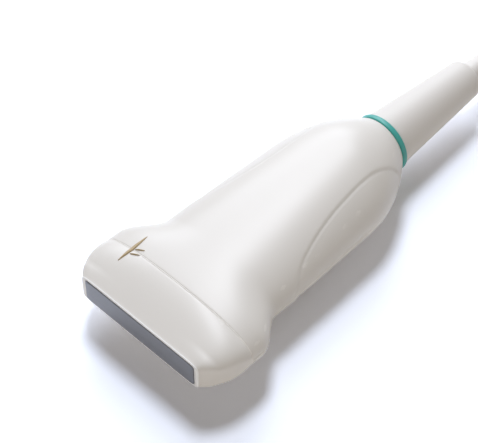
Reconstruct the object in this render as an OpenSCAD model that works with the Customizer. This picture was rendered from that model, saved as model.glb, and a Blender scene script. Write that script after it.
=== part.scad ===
// Hand-held linear-array ultrasound probe with its cable and system connector.
// The probe lies along Y with its lens facing -Y, on the plane z = 0.

/* [Body outline] */
// Width of the front face
face_w = 48; // [47.6:0.2:52]
// How fast the nose widens behind the lens face
nose_flare = 3.6; // [3:0.1:4.2]
// Thickness of the front face
face_t = 10.1; // [10:0.1:12]
// Greatest width of the head
head_w = 62.6; // [58:0.2:76]
// Distance from the lens face to the widest place of the head
head_back = 20.5; // [19:0.5:24]
// Rise of the nose per millimetre, on each side
nose_slope = 0.3; // [0.28:0.01:0.36]
// Width of the neck behind the head
neck_w = 47.6; // [44:0.2:56]
// Distance from the lens face to the neck
neck_back = 34; // [31:0.5:40]
// Thickness of the neck
neck_t = 21.4; // [21:0.1:28]
// Width of the handle towards its tail
grip_w = 42.8; // [38:0.2:50]
// Greatest thickness of the handle
belly_t = 29.8; // [27:0.1:35]
// Distance from the lens face to the thickest place of the handle
belly_back = 88; // [85:0.5:92]
// Distance from the lens face to the end of the shells
shell_l = 105; // [104:0.5:126]
// Distance from the lens face to the seam between nosepiece and handle
seam_back = 16; // [15.5:0.1:18]
// Wall of the handle shells
shell_wall = 2.2; // [1.8:0.1:2.6]
// Wall of the nosepiece
nose_wall = 1.5; // [1.2:0.1:1.7]
// Gap left at the parting line of the handle shells
parting_gap = 0.2; // [0.1:0.05:0.4]

/* [Lens and array] */
// Width of the lens window
lens_w = 46.4; // [38:0.2:46.8]
// Height of the lens window
lens_h = 9; // [8.6:0.1:9]
// Thickness of the lens
lens_t = 1.4; // [1:0.1:2]
// How far the lens stands proud of the nosepiece
lens_proud = 0.2; // [0.1:0.05:0.4]
// Play of the lens in its window, on each side
window_play = 0.1; // [0.05:0.05:0.15]
// Thickness of each matching layer
match_t = 0.35; // [0.2:0.05:0.5]
// Thickness of the piezo array
piezo_t = 0.7; // [0.5:0.1:1]
// Number of array elements
elements = 64; // [32:1:96]
// Depth of the backing block
backing_l = 8; // [6:0.5:9]
// Thickness of a flex circuit
flex_t = 0.25; // [0.2:0.05:0.3]

/* [Tail and cable] */
// Diameter of the identification ring
ring_d = 20.8; // [20:0.1:24]
// Width of the identification ring
ring_w = 2; // [1.5:0.1:3]
// Diameter of the strain relief at the ring
boot_d1 = 19.4; // [18:0.1:19.6]
// Diameter of the strain relief at its free end
boot_d2 = 13.2; // [12:0.1:15]
// Length of the strain relief behind the ring
boot_l = 40.5; // [35:0.5:60]
// Diameter of the cable
cable_d = 8.5; // [7:0.1:8.5]
// Radial play of the cable in the pieces it passes through
cable_play = 0.1; // [0.05:0.05:0.3]

/* [Boards] */
// Width of the interconnect boards
board_w = 30; // [26:0.5:32]
// Length of the interconnect boards
board_l = 50; // [42:0.5:52]
// Thickness of the interconnect boards
board_t = 0.8; // [0.6:0.1:1]
// Thickness of the chassis plate
chassis_t = 2; // [1.6:0.1:2.4]
// Height of the standoffs on the chassis
standoff_h = 1.6; // [1.2:0.1:1.8]
// Diameter of the board screws
screw_d = 1.6; // [1.4:0.1:1.8]

/* [System connector] */
// Length of the connector housing
conn_l = 60; // [58:0.5:74]
// Height of the connector housing
conn_h = 38; // [36:0.5:46]
// Thickness of each housing half
conn_half = 13; // [12:0.5:15]
// Wall of the connector housing
conn_wall = 2; // [1.6:0.1:2.4]
// Corner radius of the connector housing
conn_r = 5; // [3:0.5:6]
// Length of the mating nose
nose_l = 46; // [44:0.5:46]
// Height of the mating nose
nose_h = 24; // [22:0.5:26]
// How far the mating nose stands out
nose_out = 7; // [6:0.5:9]
// Diameter of the lock shaft inside the connector
shaft_d = 7; // [6:0.1:7.4]
// Diameter of the lock shaft's free tip
tip_d = 6; // [5:0.1:6]
// Radial running clearance of the lock shaft
shaft_play = 0.05; // [0.02:0.01:0.08]
// Length of the lock knob's wing
wing_l = 30; // [24:0.5:34]
// Gap between the knob and the connector
knob_gap = 0.3; // [0.2:0.05:0.6]

/* [Hidden] */

// Colours
shell_white = [0.93, 0.92, 0.90];
lens_grey = [0.25, 0.29, 0.34];
ring_teal = [0.10, 0.62, 0.55];
mark_tan = [0.70, 0.58, 0.40];
board_green = [0.08, 0.35, 0.22];
steel = [0.72, 0.73, 0.75];
flex_amber = [0.75, 0.48, 0.15];
housing_grey = [0.80, 0.80, 0.79];

// Outline of the body
tail_r = 10;
round_start = 77;
round_power = 2.15;
belly_power = 1.7;
blend_t = 1.4;
arc_steps = 22;
ring_points = 48;
seam_gap = 0.4;
seam_inset = 0.35;

// Length of the probe from the lens face to the end of the strain relief
boot_start = shell_l + ring_w;
probe_l = boot_start + boot_l;

// 0 to 1 along an S-shaped ramp
function ramp(u) = let (c = min(1, max(0, u))) c * c * (3 - 2 * c);
// Share of the way from a to b, held between 0 and 1
function share(s, a, b) = min(1, max(0, (s - a) / (b - a)));
// Full half-width before the tail is rounded off
function plain_half_w(s) =
    s < head_back
        ? face_w / 2 + (head_w - face_w) / 2 * (1 - pow(1 - s / head_back, nose_flare))
        : s < neck_back
            ? head_w / 2 - (head_w - neck_w) / 2 * ramp(share(s, head_back, neck_back))
            : neck_w / 2 - (neck_w - grip_w) / 2 * ramp(share(s, neck_back, shell_l));
// Half-width of the body at distance s behind the lens face
function half_w(s) =
    tail_r + (plain_half_w(s) - tail_r) * (1 - pow(share(s, round_start, shell_l), round_power));
// Half-thickness of the nose and of the handle, each as a straight line
function nose_line(s) = face_t / 2 + nose_slope * s;
function grip_line(s) =
    neck_t / 2 + (belly_t - neck_t) / 2 * (s - neck_back) / (belly_back - neck_back);
// The lower of the two lines, with a soft blend where they cross
function plain_half_t(s) =
    let (a = nose_line(s), b = grip_line(s)) (a + b - sqrt(pow(a - b, 2) + pow(blend_t, 2))) / 2;
// Half-thickness of the body at distance s behind the lens face
function half_t(s) =
    tail_r + (plain_half_t(s) - tail_r) * (1 - pow(share(s, belly_back, shell_l), belly_power));
// How square the cross-section is: 2 is an ellipse
function squareness(s) =
    lookup(s, [[0, 12], [5, 5], [seam_back, 2.55], [neck_back, 2.15], [75, 2.05], [shell_l, 2]]);

// The axis lies as high as the thickest place of the handle asks for
axis_z = max([for (s = [belly_back - 10:0.5:shell_l]) half_t(s)]) + parting_gap / 2;
function y_of(s) = s - probe_l / 2;

// Signed power, for the corners of a superellipse
function spow(v, p) = sign(v) * pow(abs(v), p);
// Point of a superellipse of half sizes w and t and squareness n, at distance s and angle a
function outline_point(s, w, t, n, a) = [w * spow(cos(a), 2 / n), y_of(s), t * spow(sin(a), 2 / n)];
// Closed outline all round, at distance s, taken in by the given inset
function outline(s, inset = 0) = [
    for (i = [0:ring_points - 1])
        outline_point(s, half_w(s) - inset, half_t(s) - inset, squareness(s), 360 * i / ring_points)
];
// Outline of fixed half sizes with small round corners
function window_outline(s, w, t) = [
    for (i = [0:ring_points - 1]) outline_point(s, w, t, 20, 360 * i / ring_points)
];
// Height of the upper surface above the axis
function surface_z(x, s) =
    half_t(s) * pow(1 - pow(abs(x) / half_w(s), squareness(s)), 1 / squareness(s));

// Triangles between two neighbouring rings of n points
function band(a, b, n) = [
    for (i = [0:n - 1])
        let (j = (i + 1) % n)
            for (f = [[a * n + i, b * n + i, b * n + j], [a * n + i, b * n + j, a * n + j]]) f
];
// Closed solid through a row of rings, with flat ends
module skin(rings) {
    n = len(rings[0]);
    last = len(rings) - 1;
    sides = [for (k = [0:last - 1]) for (f = band(k, k + 1, n)) f];
    ends = [[for (i = [0:n - 1]) i], [for (i = [n - 1:-1:0]) last * n + i]];
    polyhedron([for (r = rings) for (p = r) p], concat(sides, ends));
}
// The same for a bent wall, whose outline runs out along one face and back along the other
module skin_wall(rings) {
    n = len(rings[0]);
    last = len(rings) - 1;
    sides = [for (k = [0:last - 1]) for (f = band(k, k + 1, n)) f];
    near = [for (i = [0:n / 2 - 2]) [i, i + 1, n - 2 - i, n - 1 - i]];
    far = [for (q = near) [for (k = [3:-1:0]) last * n + q[k]]];
    polyhedron([for (r = rings) for (p = r) p], concat(sides, near, far));
}
// Closed ring-shaped solid through a row of rings, the last joined to the first
module skin_loop(rings) {
    n = len(rings[0]);
    m = len(rings);
    polyhedron([for (r = rings) for (p = r) p], [for (k = [0:m - 1]) for (f = band(k, (k + 1) % m, n)) f]);
}

// Box centred on the axis, from distance s0 to s1
module block(w, h, s0, s1) {
    translate([-w / 2, y_of(s0), axis_z - h / 2]) cube([w, s1 - s0, h]);
}
// Turns what stands on z = 0 so that it runs along +Y from distance s on the axis
module along_axis(s) {
    translate([0, y_of(s), axis_z]) rotate([-90, 0, 0]) children();
}

// ---- Head ----
match_start = lens_t;
piezo_start = lens_t + 2 * match_t;
backing_start = piezo_start + piezo_t;
backing_end = backing_start + backing_l;
backing_w = lens_w - 1.8;
backing_h = lens_h - 1.2;
flex_play = 0.05;
flex_z = backing_h / 2 + flex_play;
flex_w = backing_w - 6;
carrier_play = 0.1;
carrier_wall = 0.6;
carrier_start = 8.5;
carrier_end = 15;
kerf_share = 0.12;
kerf_depth_share = 0.75;
window_depth = 3;

module acoustic_lens() {
    color(lens_grey) translate([0, 0, axis_z])
        skin([for (s = [lens_t, 0]) window_outline(s, lens_w / 2, lens_h / 2)]);
}

module outer_matching_layer() {
    color("darkkhaki") block(lens_w - 0.6, lens_h - 0.6, match_start, match_start + match_t);
}

module inner_matching_layer() {
    color("goldenrod") block(lens_w - 1, lens_h - 0.9, match_start + match_t, piezo_start);
}

// Crystals diced into elements that stand on one common web
module piezo_array() {
    pitch = backing_w / elements;
    color("dimgray") difference() {
        block(backing_w, backing_h, piezo_start, backing_start);
        for (i = [1:elements - 1])
            translate([i * pitch - backing_w / 2, 0, 0])
                block(pitch * kerf_share, backing_h + 2, piezo_start - 1, piezo_start + piezo_t * kerf_depth_share);
    }
}

module backing_block() {
    color("black") block(backing_w, backing_h, backing_start, backing_end);
}

module array_carrier() {
    hole_h = backing_h + 2 * (flex_play + flex_t + carrier_play);
    hole_w = backing_w + 2 * carrier_play;
    color("gainsboro") difference() {
        block(hole_w + 2 * carrier_wall, hole_h + 2 * carrier_wall, carrier_start, carrier_end);
        block(hole_w, hole_h, carrier_start - 1, carrier_end + 1);
    }
}

module flex_circuit() {
    color(flex_amber) translate([-flex_w / 2, y_of(backing_start), flex_z])
        cube([flex_w, board_start - backing_start, flex_t]);
}
module upper_flex_circuit() {
    translate([0, 0, axis_z]) flex_circuit();
}
module lower_flex_circuit() {
    translate([0, 0, axis_z]) mirror([0, 0, 1]) flex_circuit();
}

// One ring-shaped wall from the seam round the front edge and back along the inside
module nosepiece() {
    window_w = lens_w / 2 + window_play;
    window_t = lens_h / 2 + window_play;
    outer = [for (s = [seam_back:-1.4:lens_proud + 1.4]) outline(s)];
    edge = [outline(lens_proud + 0.5), outline(lens_proud, 0.12)];
    window = [window_outline(lens_proud, window_w, window_t), window_outline(window_depth, window_w, window_t)];
    inner = [for (s = [6.5, 9.5, 12.5, seam_back]) outline(s, nose_wall)];
    color(shell_white) translate([0, 0, axis_z]) skin_loop(concat(outer, edge, window, inner));
}

module nose_gasket() {
    s1 = seam_back + seam_gap;
    color("lightgray") translate([0, 0, axis_z]) skin_loop([
        outline(s1, seam_inset), outline(seam_back, seam_inset),
        outline(seam_back, nose_wall), outline(s1, nose_wall)
    ]);
}

// Raised spindle across the seam, with two short ticks beside it
mark_x = -19.5;
mark_start = 10.5;
mark_l = 12;
mark_w = 1.3;
mark_h = 0.3;
mark_lift = 0.05;
module spindle(x, s0, l, w, turn) {
    steps = 8;
    skin([for (i = [0:steps])
        let (
            u = i / steps,
            s = s0 + l * u,
            h = w / 2 * (0.12 + 0.88 * sin(180 * u)),
            mid = x + (s - s0 - l / 2) * tan(turn),
            lift = mark_lift + parting_gap / 2
        )
            [for (c = [[-1, 0], [-0.5, mark_h], [0.5, mark_h], [1, 0]])
                [mid + c[0] * h, y_of(s), surface_z(mid + c[0] * h, s) + lift + c[1]]]
    ]);
}
module orientation_mark() {
    color(mark_tan) translate([0, 0, axis_z]) {
        spindle(mark_x, mark_start, mark_l, mark_w, 0);
        for (s = [mark_start + 3.4, mark_start + 6.4])
            spindle(mark_x + 2.6, s, 2.2, 0.7, 62);
    }
}

// ---- Handle ----
shell_start = seam_back + seam_gap;
shell_stations = concat(
    [shell_start],
    [for (s = [18:2:36]) s],
    [for (s = [41:6:83]) s],
    [for (s = [87:2.5:shell_l - 1.4]) s],
    [shell_l]
);
bore_r = boot_d1 / 2 - 2.2;
function inner_half(outer_half) = max(bore_r, outer_half - shell_wall);
// Wall of one half shell, as a closed outline: out along the arc, back along the inside
function half_section(s) = concat(
    [for (i = [0:arc_steps])
        outline_point(s, half_w(s), half_t(s), squareness(s), 180 * i / arc_steps)],
    [for (i = [arc_steps:-1:0])
        outline_point(s, inner_half(half_w(s)), inner_half(half_t(s)), squareness(s), 180 * i / arc_steps)]
);
module handle_half() {
    color(shell_white) translate([0, 0, parting_gap / 2])
        skin_wall([for (s = shell_stations) half_section(s)]);
}
module upper_handle_shell() {
    translate([0, 0, axis_z]) handle_half();
}
module lower_handle_shell() {
    translate([0, 0, axis_z]) mirror([0, 0, 1]) handle_half();
}

board_start = 27;
board_end = board_start + board_l;
chassis_start = board_start - 2;
clamp_start = board_end + 8;
clamp_l = 7;
chassis_w = board_w + 2;
board_z = chassis_t / 2 + standoff_h;
post_r = 2;
hole_play = 0.05;
screw_r = screw_d / 2;
post_places = [for (x = [-1, 1]) for (s = [board_start + 9, board_end - 4]) [x * (board_w / 2 - 3), s]];
// Puts a copy at each post, on both sides of the chassis
module at_posts() {
    for (p = post_places) for (m = [0, 1])
        translate([p[0], y_of(p[1]), axis_z]) mirror([0, 0, m]) children();
}

// Plate that carries both boards and the cable clamp
module board_chassis() {
    slot_w = 10;
    color("silver") difference() {
        union() {
            block(chassis_w, chassis_t, chassis_start, board_end + 3);
            block(clamp_w, chassis_t, board_end + 3, clamp_start);
            at_posts() cylinder(h = board_z, r = post_r, $fn = 32);
        }
        at_posts() translate([0, 0, -0.1]) cylinder(h = board_z + 1, r = screw_r + hole_play, $fn = 24);
        for (x = [-1, 1])
            translate([x * 7, 0, 0]) block(slot_w / 2, chassis_t + 2, board_start + 14, board_end - 12);
    }
}

// Interconnect board with its chips, drawn above the chassis
module interconnect_board() {
    chip = 6;
    difference() {
        translate([-board_w / 2, y_of(board_start), board_z]) cube([board_w, board_l, board_t]);
        for (p = post_places)
            translate([p[0], y_of(p[1]), board_z - 1]) cylinder(h = 3, r = screw_r + 2 * hole_play, $fn = 24);
    }
    for (s = [board_start + 16, board_start + 26, board_start + 36])
        translate([-chip / 2, y_of(s), board_z + board_t]) cube([chip, chip, 0.9]);
}
module upper_board() {
    color(board_green) translate([0, 0, axis_z]) interconnect_board();
}
module lower_board() {
    color(board_green) translate([0, 0, axis_z]) mirror([0, 0, 1]) interconnect_board();
}

// Flex sockets at the front edge of each board
socket_l = 5;
module board_connectors() {
    socket_h = 1.8;
    color("ivory") for (m = [0, 1])
        translate([0, y_of(board_start), axis_z]) mirror([0, 0, m])
            translate([-board_w / 2 + 2, 0, board_z + board_t]) cube([board_w - 4, socket_l, socket_h]);
}

module board_screws() {
    head_h = 1;
    color(steel) for (p = post_places) for (m = [0, 1])
        translate([p[0], y_of(p[1]), axis_z]) mirror([0, 0, m]) {
            translate([0, 0, 0.6]) cylinder(h = board_z + board_t - 0.6, r = screw_r, $fn = 24);
            translate([0, 0, board_z + board_t]) cylinder(h = head_h, r = screw_r * 1.9, $fn = 32);
        }
}

// Thin foil sleeve round the flex circuits
module shield_sleeve() {
    foil = 0.2;
    sleeve_w = flex_w + 4;
    sleeve_h = 2 * (flex_z + flex_t) + 3;
    color("peru") difference() {
        block(sleeve_w, sleeve_h, carrier_end + 2, board_start - 3);
        block(sleeve_w - 2 * foil, sleeve_h - 2 * foil, carrier_end, board_start);
    }
}

// Coaxes gathered from the boards' rear edge into the end of the cable
module coax_bundle() {
    fan_start = board_end + 0.5;
    fan_end = clamp_start - 1.2;
    bundle_r = 3;
    color("slategray") for (m = [0, 1]) translate([0, 0, axis_z]) mirror([0, 0, m]) hull() {
        translate([-9, y_of(fan_start), board_z]) cube([18, 0.8, 1.2]);
        translate([-bundle_r / 2, y_of(fan_end), chassis_t / 2 + 0.2]) cube([bundle_r, 0.8, 1.6]);
    }
}

// Collar that grips the cable's jacket
clamp_w = 20;
clamp_h = 13;
clamp_screw_x = 7.6;
clamp_screw_r = 1;
module cable_clamp() {
    slit = 0.6;
    color("dimgray") difference() {
        block(clamp_w, clamp_h, clamp_start, clamp_start + clamp_l);
        along_axis(clamp_start - 1) cylinder(h = clamp_l + 2, r = cable_d / 2 + cable_play, $fn = 48);
        block(clamp_w + 2, slit, clamp_start - 1, clamp_start + clamp_l + 1);
        for (x = [-1, 1])
            translate([x * clamp_screw_x, y_of(clamp_start + clamp_l / 2), axis_z - clamp_h / 2 + 2])
                cylinder(h = clamp_h, r = clamp_screw_r + hole_play, $fn = 24);
    }
}
module clamp_screws() {
    color(steel) for (x = [-1, 1])
        translate([x * clamp_screw_x, y_of(clamp_start + clamp_l / 2), axis_z]) {
            translate([0, 0, -clamp_h / 2 + 2.5]) cylinder(h = clamp_h - 2.5, r = clamp_screw_r, $fn = 24);
            translate([0, 0, clamp_h / 2]) cylinder(h = 1.2, r = clamp_screw_r * 1.9, $fn = 32);
        }
}

// Crimped ring that ties the cable's screen to the chassis
ferrule_start = clamp_start + clamp_l + 0.5;
ferrule_l = 5;
module shield_ferrule() {
    ferrule_wall = 1.2;
    color(steel) along_axis(ferrule_start) difference() {
        cylinder(h = ferrule_l, r = cable_d / 2 + cable_play + ferrule_wall, $fn = 48);
        translate([0, 0, -1]) cylinder(h = ferrule_l + 2, r = cable_d / 2 + cable_play, $fn = 48);
    }
}

// ---- Tail ----
neck_play = 0.15;
neck_r = bore_r - neck_play;
anchor_l = 5.5;
module identification_ring() {
    r = ring_d / 2;
    soft = 0.5;
    color(ring_teal) along_axis(shell_l) rotate_extrude($fn = 72) polygon([
        [neck_r + neck_play, 0], [r - soft, 0], [r - soft * 0.3, soft * 0.3], [r, soft],
        [r, ring_w - soft], [r - soft * 0.3, ring_w - soft * 0.3], [r - soft, ring_w],
        [neck_r + neck_play, ring_w]
    ]);
}

// Tapered sleeve with a rounded free end, anchored through the ring into the shells
module strain_relief_boot() {
    end_round = 1.4;
    bore = cable_d / 2 + cable_play;
    color(shell_white) along_axis(boot_start) rotate_extrude($fn = 72) polygon(concat(
        [[bore, -ring_w - anchor_l], [neck_r, -ring_w - anchor_l], [neck_r, 0], [boot_d1 / 2 - 0.4, 0], [boot_d1 / 2, 0.4]],
        [for (a = [0:15:90])
            [boot_d2 / 2 - end_round * (1 - cos(a)), boot_l - end_round * (1 - sin(a))]],
        [[bore, boot_l]]
    ));
}

// ---- Cable ----
cable_r = cable_d / 2;
strap_t = 0.6;
strap_w = 18;
strap_play = 0.1;
fold_r = 3 * cable_d;
columns = 2;
layers = 3;
hank_near = 146;
hank_run = 60;
hank_out = fold_r + cable_d * (columns - 0.5);
hank_in = fold_r - cable_r;
hank_h = layers * cable_d;
conn_x = 12;
conn_y = 272;
conn_mid_y = conn_y + conn_l / 2;
conn_mid_z = conn_h / 2;
conn_boot_l = 20;
boot_end_y = y_of(probe_l);

// Route of the lead from the clamp into the hank's lowest layer, and of the tail from its top
lead_route = [
    [0, y_of(clamp_start + 0.5), axis_z], [0, 30, axis_z], [0, 55, axis_z], [0, boot_end_y, axis_z],
    [0, 84, 14.5], [3, 95, 12.5], [9, 106, 9], [16, 116, 6.5]
];
tail_route = [
    [24.8, 231.4, 22.1], [21.2, 236.1, 21.6], [17.6, 241, 20.6], [14.2, 246, 19.5],
    [12, conn_y - conn_boot_l, conn_mid_z],
    [12, conn_y - 8, conn_mid_z], [12, conn_y + 8, conn_mid_z]
];

function unit(v) = v / norm(v);
// Direction of a route at its point i
function heading(route, i) = unit(route[min(i + 1, len(route) - 1)] - route[max(i - 1, 0)]);
// Point between b and c on a smooth curve through a, b, c and d
function curve_point(a, b, c, d, t) =
    0.5 * (2 * b + (c - a) * t + (2 * a - 5 * b + 4 * c - d) * t * t + (3 * b - a - 3 * c + d) * t * t * t);
// The route with one point added between each pair
function smoothed(route) = let (m = len(route) - 1) concat(
    [for (i = [0:m - 1]) for (t = [0, 0.5])
        curve_point(route[max(i - 1, 0)], route[i], route[i + 1], route[min(i + 2, m)], t)],
    [route[m]]
);
// Round tube along a route
module tube(route, r) {
    sides = 10;
    skin([for (i = [0:len(route) - 1])
        let (
            t = heading(route, i),
            side = unit(cross(t, [0, 0, 1])),
            up = cross(side, t)
        )
            [for (k = [0:sides - 1]) route[i] + r * (cos(360 * k / sides) * side - sin(360 * k / sides) * up)]
    ]);
}

module cable_lead() {
    color(shell_white) tube(smoothed(lead_route), cable_r);
}
module cable_tail() {
    color(shell_white) tube(smoothed(tail_route), cable_r);
}

// Flat outline with round ends, as wide as twice r
module oval(r) {
    translate([0, hank_near]) circle(r, $fn = 96);
    translate([0, hank_near + hank_run]) circle(r, $fn = 96);
    translate([-r, hank_near]) square([2 * r, hank_run]);
}
module cable_hank() {
    color(shell_white) translate([0, 0, strap_t + strap_play]) linear_extrude(height = hank_h) difference() {
        oval(hank_out);
        oval(hank_in);
    }
}

// Band of hook-and-loop tape round both sides of the hank
module hank_strap() {
    inner_w = 2 * (hank_out + strap_play);
    inner_h = hank_h + 2 * strap_play;
    mid_y = hank_near + hank_run / 2;
    color("dimgray") translate([0, mid_y - strap_w / 2, 0]) difference() {
        translate([-inner_w / 2 - strap_t, 0, 0]) cube([inner_w + 2 * strap_t, strap_w, inner_h + 2 * strap_t]);
        translate([-inner_w / 2, -1, strap_t]) cube([inner_w, strap_w + 2, inner_h]);
    }
}

// ---- System connector ----
// Rounded rectangle of length l along Y and height h along Z, as a plate from x0 to x1
module plate(l, h, r, x0, x1) {
    translate([conn_x + x0, conn_mid_y, conn_mid_z]) rotate([90, 0, 90]) linear_extrude(height = x1 - x0) {
        square([l - 2 * r, h], center = true);
        square([l, h - 2 * r], center = true);
        for (a = [-1, 1]) for (b = [-1, 1])
            translate([a * (l / 2 - r), b * (h / 2 - r)]) circle(r, $fn = 32);
    }
}
// Turns what stands on z = 0 so that it runs along +X from x0 on the lock's axis
module along_lock(x0) {
    translate([conn_x + x0, conn_mid_y, conn_mid_z]) rotate([0, 90, 0]) children();
}
// Runs along the cable's axis from y
module along_inlet(y) {
    translate([conn_x, y, conn_mid_z]) rotate([-90, 0, 0]) children();
}
shaft_r = shaft_d / 2;
bush_r = shaft_r + 1.5;
inlet_neck_r = cable_r + cable_play + 1.6;
inlet_flange_r = inlet_neck_r + 1.6;
screw_places = [for (a = [-1, 1]) for (b = [-1, 1]) [a * (conn_l / 2 - 6), b * (conn_h / 2 - 6)]];
case_screw_r = 1;
case_boss_r = 2.6;
module at_case_screws(x0) {
    for (p = screw_places)
        translate([conn_x + x0, conn_mid_y + p[0], conn_mid_z + p[1]]) rotate([0, 90, 0]) children();
}
// Round opening for the connector boot, shared by both halves
module inlet_opening() {
    along_inlet(conn_y - 1) cylinder(h = conn_wall + 2, r = inlet_neck_r + neck_play, $fn = 48);
}
// Corner bosses that the case screws run in
module case_bosses(x0, x1) {
    at_case_screws(x0) cylinder(h = x1 - x0, r = case_boss_r, $fn = 32);
}

// Sleeve with a grooved neck that both housing halves grip
module connector_boot() {
    bore = cable_r + cable_play;
    root_r = inlet_neck_r + 2.6;
    color(housing_grey) along_inlet(conn_y - conn_boot_l) rotate_extrude($fn = 64) polygon([
        [bore, 0], [bore + 1.6, 0], [bore + 2, 0.4], [root_r, conn_boot_l - neck_play],
        [inlet_neck_r, conn_boot_l - neck_play], [inlet_neck_r, conn_boot_l + conn_wall + neck_play],
        [inlet_flange_r, conn_boot_l + conn_wall + neck_play], [inlet_flange_r, conn_boot_l + conn_wall + 1.6],
        [bore, conn_boot_l + conn_wall + 1.6]
    ]);
}

// Half with the mating nose
module front_housing() {
    rim = 1.6;
    color(housing_grey) difference() {
        union() {
            difference() {
                plate(conn_l, conn_h, conn_r, -conn_half, -parting_gap / 2);
                plate(conn_l - 2 * conn_wall, conn_h - 2 * conn_wall, conn_r - conn_wall, -conn_half + conn_wall, 1);
            }
            case_bosses(-conn_half + 0.5, -parting_gap / 2);
            plate(nose_l, nose_h, 2, -conn_half - nose_out, -conn_half + 0.5);
        }
        plate(nose_l - 2 * rim, nose_h - 2 * rim, 1, -conn_half - nose_out - 1, 0);
        at_case_screws(-conn_half + 3) cylinder(h = conn_half, r = case_screw_r + hole_play, $fn = 24);
        inlet_opening();
    }
}

// Half with the lock knob
module rear_housing() {
    color(housing_grey) difference() {
        union() {
            difference() {
                plate(conn_l, conn_h, conn_r, parting_gap / 2, conn_half);
                plate(conn_l - 2 * conn_wall, conn_h - 2 * conn_wall, conn_r - conn_wall, -1, conn_half - conn_wall);
            }
            case_bosses(parting_gap / 2, conn_half - 0.5);
        }
        at_case_screws(-1) cylinder(h = conn_half + 2, r = case_screw_r + 2 * hole_play, $fn = 24);
        at_case_screws(conn_half - 1.5) cylinder(h = 3, r = case_screw_r * 2, $fn = 32);
        along_lock(conn_half - conn_wall - 1) cylinder(h = conn_wall + 2, r = bush_r + hole_play, $fn = 48);
        inlet_opening();
    }
}

block_l = nose_l - 3.6;
block_h = nose_h - 3.6;
block_face = -conn_half - nose_out + 3;
module contact_block() {
    color("darkslategray") difference() {
        plate(block_l, block_h, 0.6, block_face, -5);
        along_lock(block_face - 1) cylinder(h = conn_half * 2, r = shaft_r + shaft_play, $fn = 48);
    }
}

// Rows of contacts on both sides of the lock shaft
module contact_pins() {
    pin_r = 0.4;
    pin_out = 1.6;
    pitch = 2.3;
    color("gold") for (side = [-1, 1]) for (i = [0:4]) for (j = [-3:3])
        translate([conn_x + block_face - pin_out, conn_mid_y + side * (9.5 + i * pitch), conn_mid_z + j * pitch])
            rotate([0, 90, 0]) cylinder(h = pin_out, r = pin_r, $fn = 16);
}

module connector_board() {
    color(board_green) difference() {
        plate(conn_l - 18, conn_h - 8, 0.6, -4.9, -3.5);
        along_lock(-6) cylinder(h = 4, r = shaft_r + 1, $fn = 48);
        at_case_screws(-6) cylinder(h = 4, r = case_boss_r + 0.3, $fn = 32);
    }
}

// Conductive seal that rings the nose
module connector_gasket() {
    seal_t = 0.8;
    seal_w = 2;
    seal_play = 0.15;
    color("gray") difference() {
        plate(nose_l + 2 * (seal_w + seal_play), nose_h + 2 * (seal_w + seal_play), 3, -conn_half - seal_t, -conn_half);
        plate(nose_l + 2 * seal_play, nose_h + 2 * seal_play, 2, -conn_half - seal_t - 1, -conn_half + 1);
    }
}

module connector_clamp() {
    start = conn_y + conn_wall + 1.8;
    size = cable_d + 4;
    color("dimgray") difference() {
        translate([conn_x - size / 2, start, conn_mid_z - size / 2]) cube([size, 4, size]);
        along_inlet(start - 1) cylinder(h = 6, r = cable_r + cable_play, $fn = 48);
    }
}

module housing_screws() {
    shank = conn_half + 7;
    color(steel) {
        at_case_screws(conn_half - 1.5 - shank) cylinder(h = shank, r = case_screw_r, $fn = 24);
        at_case_screws(conn_half - 1.5) cylinder(h = 1.2, r = case_screw_r * 1.8, $fn = 32);
    }
}

module shaft_bush() {
    flange_t = 1;
    color("darkgoldenrod") along_lock(conn_half - conn_wall - flange_t) difference() {
        union() {
            cylinder(h = conn_wall + flange_t, r = bush_r, $fn = 48);
            cylinder(h = flange_t, r = bush_r + 1.5, $fn = 48);
        }
        translate([0, 0, -1]) cylinder(h = conn_wall + flange_t + 2, r = shaft_r + shaft_play, $fn = 48);
    }
}

// ---- Lock: everything here turns together ----
tip_out = 4;
tip_x = block_face - tip_out - 3;
clip_x = conn_half - conn_wall - 2.4;
clip_t = 0.8;
clip_r = shaft_r - 0.6;
knob_x = conn_half + knob_gap;
knob_base_t = 3;
wing_t = 7;
wing_out = 9;
socket_depth = 6;
lock_screw_r = 1.1;
pin_r = 0.9;
pin_x = tip_x + 1.8;

module lock_shaft() {
    shaft_end = knob_x + socket_depth - 0.1;
    color(steel) difference() {
        union() {
            along_lock(tip_x) cylinder(h = block_face - tip_x, r = tip_d / 2, $fn = 48);
            along_lock(block_face) cylinder(h = clip_x - block_face, r = shaft_r, $fn = 48);
            along_lock(clip_x) cylinder(h = clip_t, r = clip_r, $fn = 48);
            along_lock(clip_x + clip_t) cylinder(h = shaft_end - clip_x - clip_t, r = shaft_r, $fn = 48);
        }
        along_lock(shaft_end - 6) cylinder(h = 7, r = lock_screw_r + hole_play, $fn = 24);
        translate([conn_x + pin_x, conn_mid_y, conn_mid_z - tip_d])
            cylinder(h = 2 * tip_d, r = pin_r + hole_play, $fn = 24);
    }
}

// Cross pin that hooks behind the socket's catch
module lock_pin() {
    pin_l = tip_d + 5;
    color(steel) translate([conn_x + pin_x, conn_mid_y, conn_mid_z - pin_l / 2])
        cylinder(h = pin_l, r = pin_r, $fn = 24);
}

module retaining_ring() {
    color(steel) along_lock(clip_x + 0.05) difference() {
        cylinder(h = clip_t - 0.1, r = shaft_r + 1.6, $fn = 48);
        translate([0, 0, -1]) cylinder(h = 3, r = clip_r + 0.05, $fn = 48);
        translate([0, -clip_r * 0.7, -1]) cube([shaft_r * 2, clip_r * 1.4, 3]);
    }
}

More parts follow.
